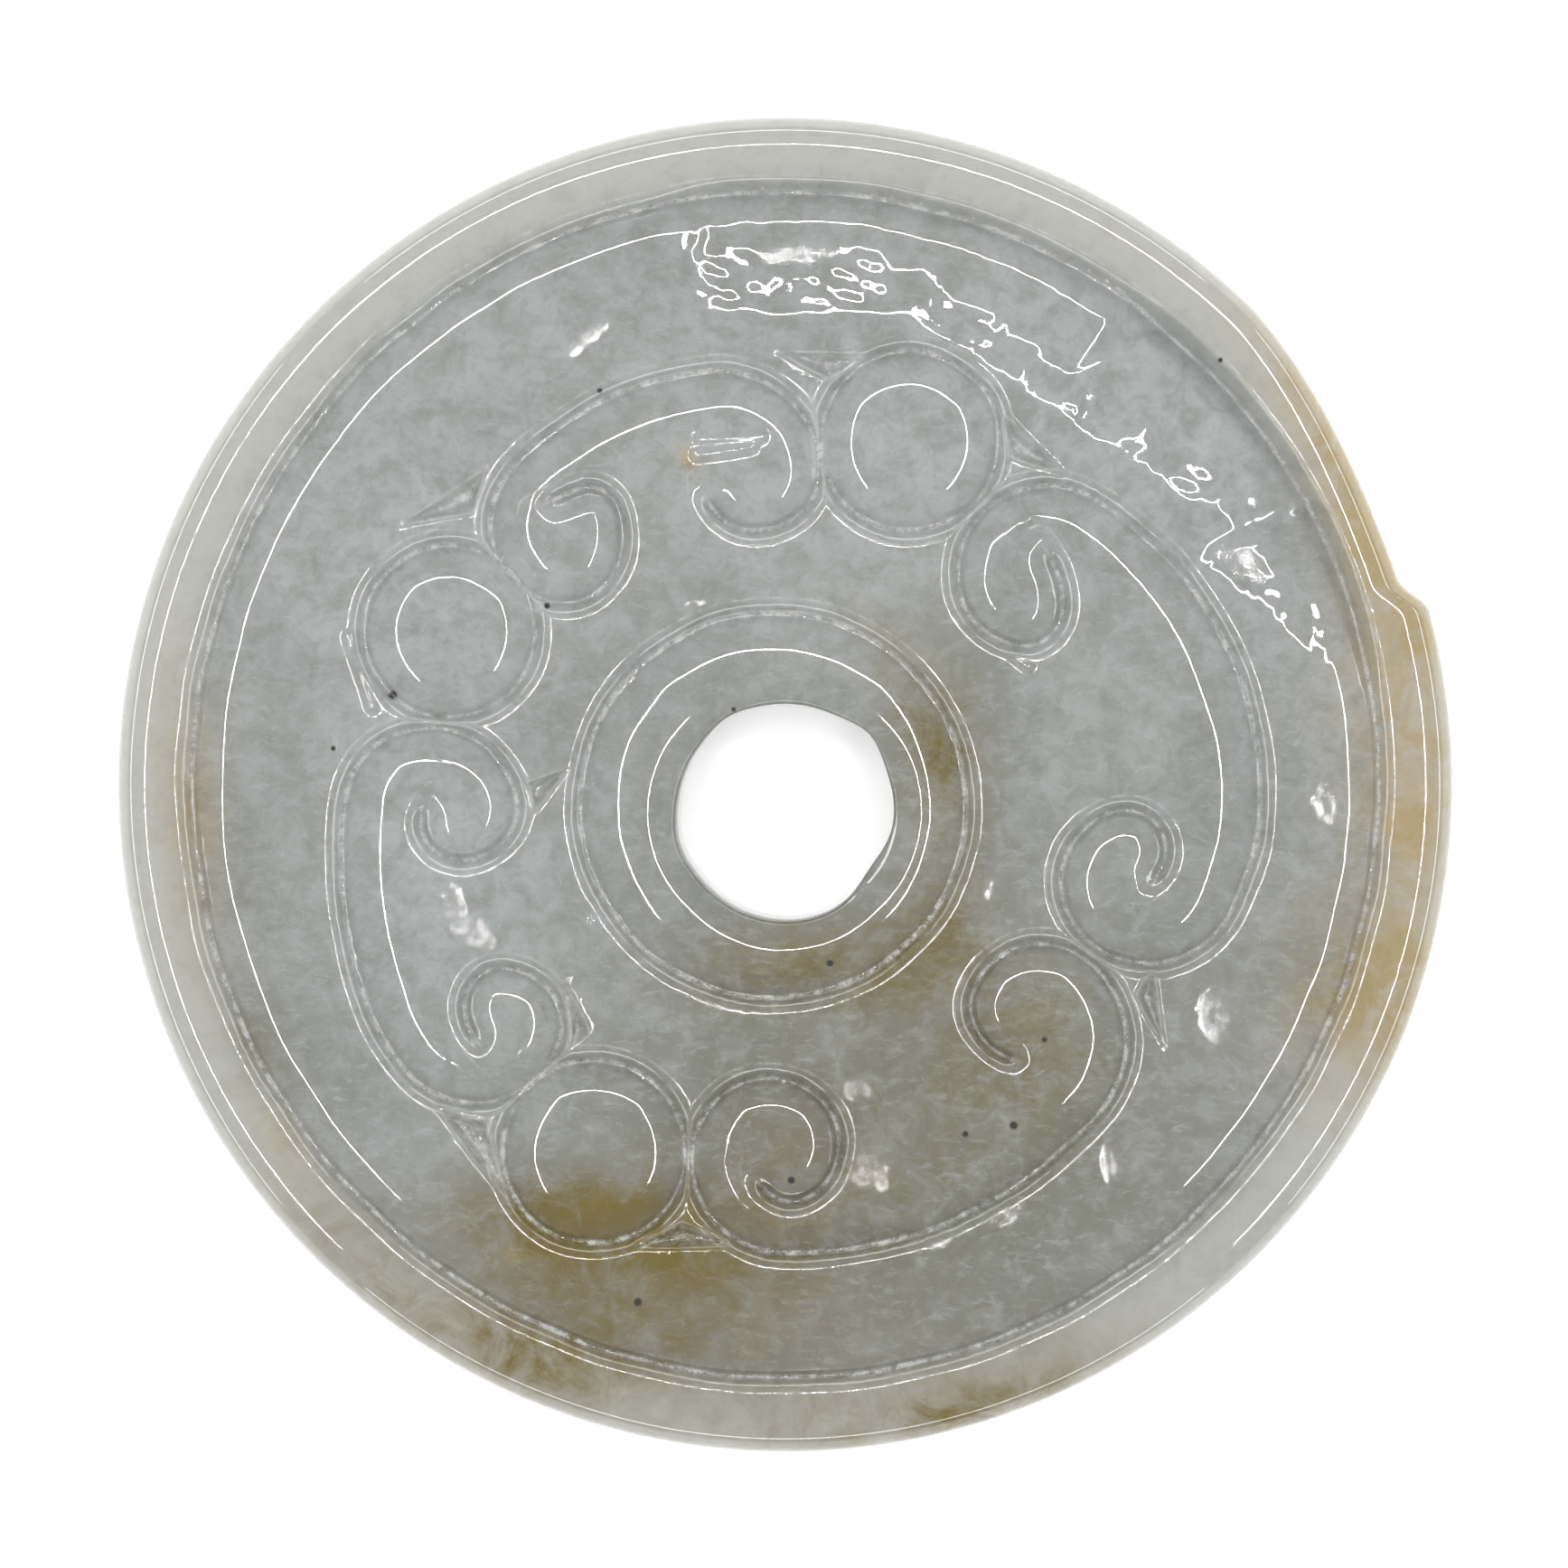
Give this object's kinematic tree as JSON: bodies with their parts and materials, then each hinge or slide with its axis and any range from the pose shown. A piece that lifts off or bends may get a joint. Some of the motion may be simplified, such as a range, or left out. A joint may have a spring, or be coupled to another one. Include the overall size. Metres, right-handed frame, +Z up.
{
  "type": "jade bi disc",
  "caption": "Round carved jade disc with an offset hole in a raised collar, domed bosses and C scrolls in low relief inside a raised rim, and a flat plain back.",
  "frame": {"origin": "under the middle of the disc, on the plane that it lies on", "axes": "+Z up out of the carved face, +Y towards the top of the carved face, +X to the right of it"},
  "size_m": [0.054, 0.054, 0.006],
  "materials": {
    "jade": "polished, translucent, with ochre and olive stains"
  },
  "bodies": {
    "root": {"bi_disc": "jade"}
  },
  "joints": []
}
